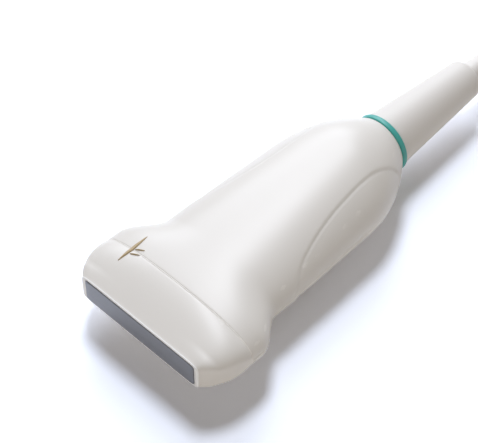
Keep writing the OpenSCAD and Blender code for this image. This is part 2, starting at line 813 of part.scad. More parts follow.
// Round base with a wing to turn it by
module lock_knob() {
    base_r = 11;
    head_recess = 1.4;
    wing_x = knob_x + knob_base_t;
    color("dimgray") difference() {
        union() {
            along_lock(knob_x) cylinder(h = knob_base_t, r = base_r, $fn = 72);
            translate([conn_x + wing_x, conn_mid_y - wing_t / 2, conn_mid_z - wing_l / 2 + wing_t / 2])
                cube([wing_out, wing_t, wing_l - wing_t]);
            for (m = [-1, 1])
                translate([conn_x + wing_x, conn_mid_y, conn_mid_z + m * (wing_l / 2 - wing_t / 2)])
                    rotate([0, 90, 0]) cylinder(h = wing_out, r = wing_t / 2, $fn = 48);
        }
        along_lock(knob_x - 1) cylinder(h = socket_depth + 1, r = shaft_r + hole_play, $fn = 48);
        along_lock(knob_x) cylinder(h = wing_out + 5, r = lock_screw_r + hole_play, $fn = 24);
        along_lock(wing_x + wing_out - head_recess) cylinder(h = 3, r = lock_screw_r * 2.1, $fn = 32);
    }
}

module knob_screw() {
    head_x = knob_x + knob_base_t + wing_out - 1.4;
    shank = head_x - knob_x - 1.5;
    color(steel) {
        along_lock(head_x - shank) cylinder(h = shank, r = lock_screw_r, $fn = 24);
        along_lock(head_x) cylinder(h = 1.1, r = lock_screw_r * 1.9, $fn = 32);
    }
}

acoustic_lens();
outer_matching_layer();
inner_matching_layer();
piezo_array();
backing_block();
array_carrier();
upper_flex_circuit();
lower_flex_circuit();
nosepiece();
nose_gasket();
orientation_mark();
upper_handle_shell();
lower_handle_shell();
board_chassis();
upper_board();
lower_board();
board_connectors();
board_screws();
shield_sleeve();
coax_bundle();
cable_clamp();
clamp_screws();
shield_ferrule();
identification_ring();
strain_relief_boot();
cable_lead();
cable_hank();
cable_tail();
hank_strap();
connector_boot();
front_housing();
rear_housing();
contact_block();
contact_pins();
connector_board();
connector_gasket();
connector_clamp();
housing_screws();
shaft_bush();
lock_shaft();
lock_pin();
retaining_ring();
lock_knob();
knob_screw();
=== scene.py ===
import math

import bmesh
import bpy
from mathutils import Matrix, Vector


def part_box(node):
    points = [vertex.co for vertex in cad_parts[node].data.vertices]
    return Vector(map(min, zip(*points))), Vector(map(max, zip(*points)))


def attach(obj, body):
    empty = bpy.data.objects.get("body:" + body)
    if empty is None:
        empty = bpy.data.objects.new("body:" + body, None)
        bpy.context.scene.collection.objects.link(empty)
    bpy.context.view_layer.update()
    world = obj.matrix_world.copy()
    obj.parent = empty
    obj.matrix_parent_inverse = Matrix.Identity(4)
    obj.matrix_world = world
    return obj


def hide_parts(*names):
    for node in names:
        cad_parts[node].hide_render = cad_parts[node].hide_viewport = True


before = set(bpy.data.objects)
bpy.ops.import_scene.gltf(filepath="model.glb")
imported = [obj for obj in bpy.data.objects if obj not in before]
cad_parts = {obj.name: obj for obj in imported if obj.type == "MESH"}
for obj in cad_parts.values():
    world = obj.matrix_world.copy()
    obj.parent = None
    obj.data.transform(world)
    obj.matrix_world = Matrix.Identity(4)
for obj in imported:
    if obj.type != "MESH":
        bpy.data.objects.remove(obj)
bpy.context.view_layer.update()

mm = 0.001
scene = bpy.context.scene


# small helpers

def clamp(v):
    return min(1.0, max(0.0, v))


def ramp(v):  # S-shaped, from 0 to 1
    v = clamp(v)
    return v * v * (3 - 2 * v)


def share(v, a, b):
    return clamp((v - a) / (b - a))


def mix(a, b, v):
    return a + (b - a) * v


def lookup(v, table):  # straight lines between pairs
    for (v0, a0), (v1, a1) in zip(table, table[1:]):
        if v <= v1:
            return mix(a0, a1, share(v, v0, v1))
    return table[-1][1]


def boxOf(node):
    low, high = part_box(node)
    return [c / mm for c in low], [c / mm for c in high]


def middle(node):
    low, high = boxOf(node)
    return [(a + b) / 2 for a, b in zip(low, high)]


def addObject(name, data, material, smooth=True):
    piece = bpy.data.objects.new(name, data)
    scene.collection.objects.link(piece)
    data.materials.append(material)
    if smooth and isinstance(data, bpy.types.Mesh):
        data.shade_smooth()
    return piece


def meshFrom(name, points, faces, material, smooth=True):
    data = bpy.data.meshes.new(name)
    data.from_pydata([[c * mm for c in p] for p in points], [], faces)
    body = bmesh.new()
    body.from_mesh(data)
    bmesh.ops.remove_doubles(body, verts=body.verts, dist=1e-7)
    bmesh.ops.recalc_face_normals(body, faces=body.faces)
    body.to_mesh(data)
    body.free()
    return addObject(name, data, material, smooth)


def ringFaces(rings, count, closeRound=True, closeAlong=False):
    faces = []
    for k in range(rings if closeAlong else rings - 1):
        a, b = k * count, (k + 1) % rings * count
        for i in range(count if closeRound else count - 1):
            j = (i + 1) % count
            faces.append([a + i, b + i, b + j, a + j])
    return faces


def loft(name, rings, material, closeAlong=False, capped=False, smooth=True):
    count = len(rings[0])
    faces = ringFaces(len(rings), count, closeAlong=closeAlong)
    if capped:
        faces += [list(range(count)), [(len(rings) - 1) * count + i for i in range(count)]]
    return meshFrom(name, [p for ring in rings for p in ring], faces, material, smooth)


def roundRing(centre, along, r, count):  # circle across the y axis
    turn = [2 * math.pi * k / count for k in range(count)]
    return [(centre[0] + r * math.cos(a), along, centre[1] + r * math.sin(a)) for a in turn]


def sharpen(piece, degrees=35):  # keeps edges crisp and the rest smooth
    piece.data.set_sharp_from_angle(angle=math.radians(degrees))


def place(piece, body, slot, *nodes):
    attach(piece, body)
    if nodes:
        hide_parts(*nodes)
    return piece


# shader groups

def nodeMaker(tree):
    def make(kind, values=None, **settings):
        node = tree.nodes.new(kind)
        for key, value in settings.items():
            setattr(node, key, value)
        for key, value in (values or {}).items():
            if isinstance(value, bpy.types.NodeSocket):
                tree.links.new(value, node.inputs[key])
            else:
                node.inputs[key].default_value = value
        return node
    return make


def newGroup(name, inputs, outputs):
    group = bpy.data.node_groups.new(name, "ShaderNodeTree")
    for label, kind, value in inputs:
        socket = group.interface.new_socket(label, in_out="INPUT", socket_type=kind)
        if value is not None:
            socket.default_value = value
    for label, kind in outputs:
        group.interface.new_socket(label, in_out="OUTPUT", socket_type=kind)
    make = nodeMaker(group)
    return group, make, make("NodeGroupInput").outputs, make("NodeGroupOutput").inputs


floatKind, colourKind, vectorKind = "NodeSocketFloat", "NodeSocketColor", "NodeSocketVector"


def mouldedGrain():  # fine spark-eroded grain with a slow drift of tone
    group, make, given, out = newGroup(
        "mouldedGrain",
        [("Colour", colourKind, (0.8, 0.8, 0.8, 1)), ("Drift", floatKind, 0.02), ("Grain Size", floatKind, 0.25),
         ("Grain Height", floatKind, 0.02), ("Roughness", floatKind, 0.4), ("Roughness Drift", floatKind, 0.05)],
        [("Colour", colourKind), ("Roughness", floatKind), ("Normal", vectorKind)])
    link = group.links.new
    place3d = make("ShaderNodeTexCoord").outputs["Object"]
    scaleOf = make("ShaderNodeMath", {0: 1000.0, 1: given["Grain Size"]}, operation="DIVIDE").outputs[0]
    grain = make("ShaderNodeTexNoise", {"Vector": place3d, "Scale": scaleOf, "Detail": 3.0, "Roughness": 0.6})
    slow = make("ShaderNodeTexNoise", {"Vector": place3d, "Scale": 38.0, "Detail": 4.0, "Roughness": 0.55})
    centred = make("ShaderNodeMath", {0: slow.outputs["Fac"], 1: 0.5}, operation="SUBTRACT").outputs[0]
    tone = make("ShaderNodeMath", {0: centred, 1: given["Drift"], 2: 1.0}, operation="MULTIPLY_ADD").outputs[0]
    tinted = make("ShaderNodeVectorMath", {0: given["Colour"], "Scale": tone}, operation="SCALE").outputs[0]
    link(tinted, out["Colour"])
    rough = make("ShaderNodeMath", {0: centred, 1: given["Roughness Drift"], 2: given["Roughness"]},
                 operation="MULTIPLY_ADD")
    link(rough.outputs[0], out["Roughness"])
    height = make("ShaderNodeMath", {0: given["Grain Height"], 1: mm}, operation="MULTIPLY").outputs[0]
    bump = make("ShaderNodeBump", {"Height": grain.outputs["Fac"], "Distance": height, "Strength": 1.0})
    link(bump.outputs["Normal"], out["Normal"])
    return group


def edgeWear():  # lighter, rubbed tone where the surface turns sharply
    group, make, given, out = newGroup(
        "edgeWear",
        [("Colour", colourKind, (0.8, 0.8, 0.8, 1)), ("Worn Colour", colourKind, (0.9, 0.9, 0.9, 1)),
         ("Amount", floatKind, 0.3), ("Breakup", floatKind, 220.0)],
        [("Colour", colourKind), ("Mask", floatKind)])
    link = group.links.new
    point = make("ShaderNodeNewGeometry").outputs["Pointiness"]
    edge = make("ShaderNodeMapRange", {0: point, 1: 0.505, 2: 0.56}, clamp=True).outputs[0]
    place3d = make("ShaderNodeTexCoord").outputs["Object"]
    noise = make("ShaderNodeTexNoise", {"Vector": place3d, "Scale": given["Breakup"], "Detail": 4.0}).outputs["Fac"]
    broken = make("ShaderNodeMapRange", {0: noise, 1: 0.4, 2: 0.62}, clamp=True).outputs[0]
    both = make("ShaderNodeMath", {0: edge, 1: broken}, operation="MULTIPLY").outputs[0]
    mask = make("ShaderNodeMath", {0: both, 1: given["Amount"]}, operation="MULTIPLY", use_clamp=True).outputs[0]
    blend = make("ShaderNodeMix", {0: mask, 6: given["Colour"], 7: given["Worn Colour"]}, data_type="RGBA").outputs[2]
    link(blend, out["Colour"])
    link(mask, out["Mask"])
    return group


def fineWeave():  # crossed threads for webbing
    group, make, given, out = newGroup(
        "fineWeave",
        [("Colour", colourKind, (0.3, 0.3, 0.3, 1)), ("Thread Colour", colourKind, (0.45, 0.45, 0.46, 1)),
         ("Thread", floatKind, 0.7), ("Height", floatKind, 0.08)],
        [("Colour", colourKind), ("Normal", vectorKind)])
    link = group.links.new
    place3d = make("ShaderNodeTexCoord").outputs["Object"]
    parts = make("ShaderNodeSeparateXYZ", {0: place3d}).outputs
    scaleOf = make("ShaderNodeMath", {0: 2000 * math.pi, 1: given["Thread"]}, operation="DIVIDE").outputs[0]
    across = make("ShaderNodeMath", {0: parts["X"], 1: parts["Z"]}, operation="ADD").outputs[0]
    waves = []
    for side in (across, parts["Y"]):
        angle = make("ShaderNodeMath", {0: side, 1: scaleOf}, operation="MULTIPLY").outputs[0]
        waves.append(make("ShaderNodeMath", {0: angle}, operation="SINE").outputs[0])
    crossed = make("ShaderNodeMath", {0: waves[0], 1: waves[1]}, operation="MULTIPLY").outputs[0]
    share01 = make("ShaderNodeMapRange", {0: crossed, 1: -1.0, 2: 1.0}).outputs[0]
    link(make("ShaderNodeMix", {0: share01, 6: given["Colour"], 7: given["Thread Colour"]}, data_type="RGBA").outputs[2],
         out["Colour"])
    height = make("ShaderNodeMath", {0: given["Height"], 1: mm}, operation="MULTIPLY").outputs[0]
    link(make("ShaderNodeBump", {"Height": share01, "Distance": height}).outputs["Normal"], out["Normal"])
    return group


def turnedLines():  # concentric tool marks on turned metal
    group, make, given, out = newGroup(
        "turnedLines", [("Roughness", floatKind, 0.3), ("Spread", floatKind, 0.15), ("Scale", floatKind, 2600.0)],
        [("Roughness", floatKind), ("Normal", vectorKind)])
    link = group.links.new
    place3d = make("ShaderNodeTexCoord").outputs["Object"]
    stretched = make("ShaderNodeMapping", {"Vector": place3d, "Scale": (1.0, 0.05, 0.05)}).outputs[0]
    noise = make("ShaderNodeTexNoise", {"Vector": stretched, "Scale": given["Scale"], "Detail": 2.0}).outputs["Fac"]
    link(make("ShaderNodeMath", {0: noise, 1: given["Spread"], 2: given["Roughness"]}, operation="MULTIPLY_ADD").outputs[0],
         out["Roughness"])
    link(make("ShaderNodeBump", {"Height": noise, "Distance": 0.004 * mm}).outputs["Normal"], out["Normal"])
    return group


groups = {"grain": mouldedGrain(), "wear": edgeWear(), "weave": fineWeave(), "turned": turnedLines()}
print("stage: shader groups made")


def newMaterial(name, **sockets):
    material = bpy.data.materials.new(name)
    material.use_nodes = True
    tree = material.node_tree
    tree.nodes.clear()
    make = nodeMaker(tree)
    shader = make("ShaderNodeBsdfPrincipled", sockets)
    tree.links.new(shader.outputs[0], make("ShaderNodeOutputMaterial").inputs["Surface"])
    return material, make, shader, tree.links.new


def useGroup(make, name, values):
    node = make("ShaderNodeGroup", node_tree=groups[name])
    for key, value in values.items():
        if isinstance(value, bpy.types.NodeSocket):
            node.id_data.links.new(value, node.inputs[key])
        else:
            node.inputs[key].default_value = value
    return node.outputs


def mouldedMaterial(name, colour, rough, grainSize=0.25, grainHeight=0.006, drift=0.03, worn=None, wearAmount=0.25,
                    **sockets):
    material, make, shader, link = newMaterial(name, **sockets)
    grain = useGroup(make, "grain", {"Colour": (*colour, 1), "Drift": drift, "Grain Size": grainSize,
                                     "Grain Height": grainHeight, "Roughness": rough, "Roughness Drift": 0.08})
    tone = grain["Colour"]
    if worn:
        tone = useGroup(make, "wear", {"Colour": tone, "Worn Colour": (*worn, 1), "Amount": wearAmount})["Colour"]
    link(tone, shader.inputs["Base Color"])
    link(grain["Roughness"], shader.inputs["Roughness"])
    link(grain["Normal"], shader.inputs["Normal"])
    return material


def metalMaterial(name, colour, rough):
    material, make, shader, link = newMaterial(name, **{"Metallic": 1.0})
    lines = useGroup(make, "turned", {"Roughness": rough, "Spread": 0.15})
    tone = useGroup(make, "wear", {"Colour": (*colour, 1), "Worn Colour": (*[min(1, c * 1.15) for c in colour], 1),
                                   "Amount": 0.5})["Colour"]
    link(tone, shader.inputs["Base Color"])
    link(lines["Roughness"], shader.inputs["Roughness"])
    link(lines["Normal"], shader.inputs["Normal"])
    return material


def wovenMaterial(name, colour, thread):
    material, make, shader, link = newMaterial(name, **{"Roughness": 0.85, "Sheen Weight": 0.4, "Sheen Roughness": 0.4})
    weave = useGroup(make, "weave", {"Colour": (*colour, 1), "Thread Colour": (*thread, 1)})
    link(weave["Colour"], shader.inputs["Base Color"])
    link(weave["Normal"], shader.inputs["Normal"])
    return material


warmWhite = (0.69, 0.66, 0.615)
mats = {
    "shell": mouldedMaterial("warmWhiteShell", warmWhite, 0.42, 0.3, 0.004, 0.015, (0.9, 0.87, 0.82), 0.3,
                             **{"Specular IOR Level": 0.5, "Coat Weight": 0.15, "Coat Roughness": 0.32}),
    "lens": mouldedMaterial("lensSilicone", (0.15, 0.158, 0.185), 0.34, 0.5, 0.003, 0.05,
                            **{"Specular IOR Level": 0.5, "Coat Weight": 0.15, "Coat Roughness": 0.2}),
    "ring": mouldedMaterial("tealRing", (0.04, 0.34, 0.3), 0.4, 0.25, 0.003, 0.04, (0.1, 0.42, 0.38), 0.3),
    "mark": mouldedMaterial("tanMark", (0.44, 0.33, 0.18), 0.5, 0.15, 0.003, 0.12),
    "boot": mouldedMaterial("bootElastomer", (0.69, 0.66, 0.62), 0.5, 0.2, 0.005, 0.02,
                            **{"Sheen Weight": 0.05, "Sheen Roughness": 0.5}),
    "cable": mouldedMaterial("cableJacket", (0.72, 0.69, 0.65), 0.48, 0.35, 0.008, 0.03),
    # seam gasket: lighter than the shell, its own pale tone with a painted highlight on top, so the seam reads as a
    # light line
    "seam": mouldedMaterial("seamGasketToneAndHighlight", (0.8, 0.77, 0.72), 0.6, 0.2, 0.004, 0.05),
    "gasket": mouldedMaterial("plateGasket", (0.3, 0.29, 0.28), 0.6, 0.2, 0.004, 0.05),
    # window rim: the pale colour on the nose's front rim round the lens is a painted highlight
    "rim": mouldedMaterial("windowRimPaintedHighlight", (0.88, 0.87, 0.86), 0.35, 0.2, 0.003, 0.01),
    "housing": mouldedMaterial("housingGrey", (0.66, 0.65, 0.62), 0.52, 0.45, 0.02, 0.03, (0.78, 0.77, 0.75), 0.3),
    "knob": mouldedMaterial("knobCharcoal", (0.055, 0.058, 0.065), 0.45, 0.3, 0.012, 0.08, (0.2, 0.2, 0.21), 0.5),
    "block": mouldedMaterial("contactMoulding", (0.03, 0.035, 0.04), 0.5, 0.3, 0.01, 0.08),
    "laminate": mouldedMaterial("boardLaminate", (0.02, 0.14, 0.07), 0.35, 0.5, 0.01, 0.1),
    "film": mouldedMaterial("flexFilm", (0.55, 0.25, 0.05), 0.3, 0.6, 0.004, 0.1),
    "ceramic": mouldedMaterial("piezoCeramic", (0.3, 0.29, 0.26), 0.55, 0.12, 0.01, 0.1),
    "resin": mouldedMaterial("filledResin", (0.4, 0.32, 0.13), 0.5, 0.15, 0.008, 0.1),
    "darkResin": mouldedMaterial("backingResin", (0.02, 0.02, 0.02), 0.6, 0.2, 0.02, 0.1),
    "innerPlastic": mouldedMaterial("innerPlastic", (0.6, 0.6, 0.57), 0.5, 0.3, 0.01, 0.04),
    "coax": mouldedMaterial("coaxFan", (0.13, 0.17, 0.22), 0.5, 0.2, 0.02, 0.15),
    "steel": metalMaterial("turnedSteel", (0.44, 0.44, 0.45), 0.38),
    "bronze": metalMaterial("turnedBronze", (0.5, 0.29, 0.1), 0.3),
    "gold": metalMaterial("platedContact", (0.86, 0.6, 0.2), 0.2),
    "foil": metalMaterial("copperFoil", (0.72, 0.34, 0.2), 0.35),
    "strap": wovenMaterial("hookAndLoop", (0.05, 0.053, 0.06), (0.11, 0.115, 0.125)),
}
print("stage: materials made")

# camera and stage

probeLow = boxOf("acoustic_lens")[0]
lensFaceY = probeLow[1]
axisZ = middle("acoustic_lens")[2]
cameraSet = {"azimuth": 45.705, "elevation": 49.118, "roll": -1.0, "distance": 577.3, "lens": 141.3, "sensor": 36,
             "aimBehindLens": 60, "aside": -12.884, "up": -0.061}


def makeCamera(s):
    a, e, r = (math.radians(s[k]) for k in ("azimuth", "elevation", "roll"))
    back = Vector((math.sin(a) * math.cos(e), -math.cos(a) * math.cos(e), math.sin(e)))
    flat = Vector((math.cos(a), math.sin(a), 0))
    over = back.cross(flat)
    right = flat * math.cos(r) + over * math.sin(r)
    top = over * math.cos(r) - flat * math.sin(r)
    aim = Vector((0, lensFaceY + s["aimBehindLens"], axisZ))
    data = bpy.data.cameras.new("camera")
    data.lens, data.sensor_width = s["lens"], s["sensor"]
    data.clip_start, data.clip_end = 0.01, 20
    camera = bpy.data.objects.new("camera", data)
    scene.collection.objects.link(camera)
    turn = camera.matrix_world.to_3x3()
    for k, axis in enumerate((right, top, back)):
        turn.col[k] = axis
    camera.matrix_world = turn.to_4x4()
    camera.location = (aim + back * s["distance"] + right * s["aside"] + top * s["up"]) * mm
    scene.camera = camera
    return camera


makeCamera(cameraSet)

lightSet = {
    "key": {"azimuth": -52, "elevation": 38, "distance": 900, "size": 560, "power": 4.9, "colour": (0.93, 0.98, 1.08)},
    "top": {"azimuth": -50, "elevation": 68, "distance": 900, "size": 260, "power": 4.3, "colour": (0.94, 0.98, 1.06)},
    "fill": {"azimuth": 125, "elevation": 18, "distance": 900, "size": 400, "power": 0.8, "colour": (1.0, 0.95, 0.88)},
    "front": {"azimuth": 160, "elevation": 14, "distance": 900, "size": 360, "power": 0.9, "colour": (0.96, 0.98, 1.04)},
}


def addLamp(name, s):
    data = bpy.data.lights.new(name, "AREA")
    data.shape, data.size = "DISK", s["size"] * mm
    data.energy, data.color = s["power"], s["colour"]
    lamp = bpy.data.objects.new(name, data)
    scene.collection.objects.link(lamp)
    a, e = math.radians(s["azimuth"]), math.radians(s["elevation"])
    toLamp = Vector((math.sin(a) * math.cos(e), math.cos(a) * math.cos(e), math.sin(e)))
    lamp.location = (Vector((0, 0, axisZ)) + toLamp * s["distance"]) * mm
    lamp.rotation_euler = (-toLamp).to_track_quat("-Z", "Y").to_euler()


for lampName, lampValues in lightSet.items():
    addLamp(lampName, lampValues)


def eitherRay(make, path, names):  # 1 for any of the named ray kinds
    total = path.outputs[names[0]]
    for name in names[1:]:
        total = make("ShaderNodeMath", {0: total, 1: path.outputs[name]}, operation="MAXIMUM").outputs[0]
    return total


seenRays = ["Is Camera Ray", "Is Glossy Ray", "Is Transmission Ray"]


def makeWorld(ambient, strength):
    world = bpy.data.worlds.new("studio")
    world.use_nodes = True
    tree = world.node_tree
    tree.nodes.clear()
    make = nodeMaker(tree)
    seen = eitherRay(make, make("ShaderNodeLightPath"), seenRays)
    air = make("ShaderNodeBackground", {"Color": (*ambient, 1), "Strength": strength})
    backdrop = make("ShaderNodeBackground", {"Color": (1, 1, 1, 1), "Strength": 1.0})
    both = make("ShaderNodeMixShader", {0: seen, 1: air.outputs[0], 2: backdrop.outputs[0]})
    tree.links.new(both.outputs[0], make("ShaderNodeOutputWorld").inputs["Surface"])
    scene.world = world


makeWorld((1.0, 0.88, 0.74), 0.16)
scene.view_settings.view_transform = "Standard"


def makeFloor(halfSize, tone, seenTone):  # pale floor: keeps its shadow, white where it is lit and far off
    material = bpy.data.materials.new("paleFloor")
    material.use_nodes = True
    tree = material.node_tree
    tree.nodes.clear()
    make = nodeMaker(tree)
    seen = eitherRay(make, make("ShaderNodeLightPath"), seenRays)
    plain = make("ShaderNodeBsdfDiffuse", {"Color": (*tone, 1)})
    bright = make("ShaderNodeBsdfDiffuse", {"Color": (*seenTone, 1)})
    both = make("ShaderNodeMixShader", {0: seen, 1: plain.outputs[0], 2: bright.outputs[0]})
    offset = make("ShaderNodeVectorMath", {0: make("ShaderNodeNewGeometry").outputs["Position"], 1: (0, 0.12, 0)},
                  operation="SUBTRACT")
    reach = make("ShaderNodeVectorMath", {0: offset.outputs["Vector"]}, operation="LENGTH")
    far = make("ShaderNodeMapRange", {"Value": reach.outputs["Value"], "From Min": 0.36, "From Max": 0.8},
               interpolation_type="SMOOTHSTEP")
    away = make("ShaderNodeMath", {0: far.outputs["Result"], 1: seen}, operation="MULTIPLY")
    white = make("ShaderNodeEmission", {"Color": (1, 1, 1, 1), "Strength": 1.0})
    faded = make("ShaderNodeMixShader", {0: away.outputs[0], 1: both.outputs[0], 2: white.outputs[0]})
    tree.links.new(faded.outputs[0], make("ShaderNodeOutputMaterial").inputs["Surface"])
    corners = [(x * halfSize, y * halfSize, 0) for x, y in ((-1, -1), (1, -1), (1, 1), (-1, 1))]
    meshFrom("floor", corners, [[0, 1, 2, 3]], material, smooth=False)


makeFloor(6000, (0.95, 0.9, 0.83), (1.22, 1.28, 1.42))
print("stage: camera, lamps and floor made")

# cable: lead, hank and tail as one line

cableSet = {
    "d": 8.5, "lift": 0.7, "near": 146, "far": 206, "folds": 9, "runs": 4, "hump": 6.5,
    "lead": [(0, 78, 15), (0, 80.5, 14.9), (0.4, 84, 14.5), (1.5, 90, 13.5), (3.6, 96.5, 12.0), (6.6, 103, 10.1),
             (10.2, 109, 8.3), (14.6, 115, 6.8), (19.4, 121, 5.65), (24.2, 127.5, 5.1), (28.6, 134, 4.95),
             (31.8, 140, 4.95)],
    "tail": [(33.9, 211, 21.95), (33.0, 216.3, 21.95), (31.1, 221.6, 21.95), (28.2, 226.6, 21.95),
             (24.8, 231.4, 21.9), (21.2, 236.1, 21.45), (17.6, 241, 20.6), (14.6, 246, 19.6), (12.7, 250.6, 19.1),
             (12, 255.5, 19), (12, 261, 19), (12, 268, 19)],
}
# each turn: its fold radius in half-diameters over the inner one, and its layer
turnSteps = [(1, 0), (0, 0), (0, 1), (1, 1), (0, 2), (1, 2)]


def hankLine(s):
    d = s["d"]
    inner = 3 * d
    level = [s["lift"] + d * (k + 0.5) for k in range(3)]
    turns = [(inner + d * column, level[layer]) for column, layer in turnSteps]
    points = []
    for k, (r, z) in enumerate(turns):
        last = k == len(turns) - 1
        nextR, nextZ = turns[min(k + 1, len(turns) - 1)]
        rises = k == 3
        for i in range(s["runs"]):
            points.append((r, mix(s["near"], s["far"], i / s["runs"]), z))
        if last:
            points.append((r, s["far"], z))
            break
        for i in range(s["folds"] + 1):
            a = math.pi * i / s["folds"]
            points.append((r * math.cos(a), s["far"] + r * math.sin(a), z))
        for i in range(1, s["runs"]):
            u = i / s["runs"]
            up = ramp(share(u, 0.35, 1.0)) if rises else 0
            points.append((-r, mix(s["far"], s["near"], u), mix(z, nextZ, up)))
        for i in range(s["folds"] + 1):
            u = i / s["folds"]
            shift = ramp(share(u, 0.0, 0.62))
            rr = mix(r, nextR, shift)
            zz = nextZ if rises else mix(z, nextZ, shift)
            if k == 4:
                zz += s["hump"] * math.sin(math.pi * clamp(u / 0.8)) ** 2
            a = math.pi * (1 + u)
            points.append((rr * math.cos(a), s["near"] + rr * math.sin(a), zz))
        points.pop()
    return points


def smoothCurve(name, points, radius, material, sides=6):
    data = bpy.data.curves.new(name, "CURVE")
    data.dimensions = "3D"
    data.bevel_depth, data.bevel_resolution, data.resolution_u = radius * mm, sides, 6
    data.use_fill_caps = True
    line = data.splines.new("BEZIER")
    line.bezier_points.add(len(points) - 1)
    spots = [Vector(p) * mm for p in points]
    for k, (node, spot) in enumerate(zip(line.bezier_points, spots)):
        before, after = spots[max(k - 1, 0)], spots[min(k + 1, len(spots) - 1)]
        along = (after - before).normalized()
        node.co = spot
        node.handle_left = spot - along * (spot - before).length / 3
        node.handle_right = spot + along * (after - spot).length / 3
    return addObject(name, data, material)


cablePoints = cableSet["lead"] + hankLine(cableSet) + cableSet["tail"]
bootEnd = boxOf("strain_relief_boot")[1][1]
cablePoints[0] = (0, bootEnd - 1, axisZ)
cablePoints[1] = (0, bootEnd + 2.5, axisZ)
cable = smoothCurve("cable", cablePoints, cableSet["d"] / 2, mats["cable"])
place(cable, "probe", "cable_jacket", "cable_lead", "cable_hank", "cable_tail")

# handle outline, the same curves as the moulded parts

shape = {"faceW": 48, "noseFlare": 3.6, "faceT": 10.1, "headW": 62.6, "headBack": 20.5, "noseSlope": 0.3,
         "neckW": 47.6, "neckBack": 34, "neckT": 21.4, "gripW": 42.8, "bellyT": 29.8, "bellyBack": 88, "shellL": 105, "tailR": 10, "roundStart": 77,
         "roundPower": 2.15, "bellyPower": 1.7, "blendT": 1.4, "seamBack": 16, "seamGap": 0.4, "lensProud": 0.2,
         "square": [(0, 12), (5, 5), (16, 2.55), (34, 2.15), (75, 2.05), (105, 2)]}


def halfW(s):
    p = shape
    if s < p["headBack"]:
        plain = p["faceW"] / 2 + (p["headW"] - p["faceW"]) / 2 * (1 - (1 - s / p["headBack"]) ** p["noseFlare"])
    elif s < p["neckBack"]:
        plain = p["headW"] / 2 - (p["headW"] - p["neckW"]) / 2 * ramp(share(s, p["headBack"], p["neckBack"]))
    else:
        plain = p["neckW"] / 2 - (p["neckW"] - p["gripW"]) / 2 * ramp(share(s, p["neckBack"], p["shellL"]))
    return p["tailR"] + (plain - p["tailR"]) * (1 - share(s, p["roundStart"], p["shellL"]) ** p["roundPower"])


def halfT(s):
    p = shape
    a = p["faceT"] / 2 + p["noseSlope"] * s
    b = p["neckT"] / 2 + (p["bellyT"] - p["neckT"]) / 2 * (s - p["neckBack"]) / (p["bellyBack"] - p["neckBack"])
    plain = (a + b - math.sqrt((a - b) ** 2 + p["blendT"] ** 2)) / 2
    return p["tailR"] + (plain - p["tailR"]) * (1 - share(s, p["bellyBack"], p["shellL"]) ** p["bellyPower"])


def square(s):
    return lookup(s, shape["square"])


def signedPower(v, p):
    return math.copysign(abs(v) ** p, v)


def outlinePoint(s, angle, inset=0.0):
    n = 2 / square(s)
    w, t = halfW(s) - inset, halfT(s) - inset
    return (w * signedPower(math.cos(angle), n), lensFaceY + s, axisZ + t * signedPower(math.sin(angle), n))


def surfaceZ(x, s):
    n = square(s)
    return halfT(s) * max(0.0, 1 - (abs(x) / halfW(s)) ** n) ** (1 / n)


# angles evenly spaced round the outline
ringAngles = [2 * math.pi * k / 192 for k in range(192)]


def stations(a, b, step):
    count = max(1, math.ceil((b - a) / step))
    return [a + (b - a) * k / count for k in range(count + 1)]


# nose: front rim, rounded edges at both ends, window wall

noseSet = {"edge": 0.4, "seamEdge": 0.1, "seamOver": 0.0, "wall": 1.5, "windowW": 23.12, "windowT": 4.42,
           "windowDeep": 3.0, "lip": 0.2, "paintedRimDeep": 0.5}


def windowRing(s, w, t, power=20):
    n = 2 / power
    return [(w * signedPower(math.cos(a), n), lensFaceY + s, axisZ + t * signedPower(math.sin(a), n)) for a in ringAngles]


def makeNose(v):
    start, back = shape["lensProud"], shape["seamBack"] + v["seamOver"]
    e, g = v["edge"], v["seamEdge"]
    rows = []
    for k in range(6):  # rolled edge at the seam
        a = math.pi / 2 * k / 5
        rows.append((back - g * (1 - math.sin(a)), g * (1 - math.cos(a))))
    rows.reverse()
    outer = [[outlinePoint(s, a, inset) for a in ringAngles] for s, inset in rows]
    for s in reversed(stations(start + e, back - g, 0.8)[:-1]):
        outer.append([outlinePoint(s, a) for a in ringAngles])
    for k in range(1, 6):  # rolled edge at the front
        a = math.pi / 2 * k / 5
        inset = e * (1 - math.cos(a)) * 0.45
        outer.append([(p[0], lensFaceY + start + e * (1 - math.sin(a)), p[2])
                      for p in (outlinePoint(start + e, b, inset) for b in ringAngles)])
    lip = v["lip"]
    window = [windowRing(start, v["windowW"] + lip, v["windowT"] + lip * 0.4),
              windowRing(start + 0.1, v["windowW"] + lip * 0.4, v["windowT"] + lip * 0.15),
              windowRing(start + lip, v["windowW"], v["windowT"]),
              windowRing(v["windowDeep"], v["windowW"], v["windowT"])]
    inner = [[outlinePoint(s, a, v["wall"]) for a in ringAngles] for s in (6.5, 9.5, 12.5, back)]
    piece = loft("noseShell", outer + window + inner, mats["shell"], closeAlong=True)
    # faces within the rim depth behind the front take the pale rim colour, a painted highlight
    piece.data.materials.append(mats["rim"])
    limit = (lensFaceY + start + v["paintedRimDeep"]) * mm
    for face in piece.data.polygons:
        face.material_index = 1 if face.center.y < limit else 0
    return piece


nose = makeNose(noseSet)
sharpen(nose, 50)
place(nose, "probe", "shell_plastic", "nosepiece")

# lens: soft-edged pad in the window

lensSet = {"w": 23.06, "t": 4.36, "deep": 1.4, "edge": 0.25, "rows": 4}


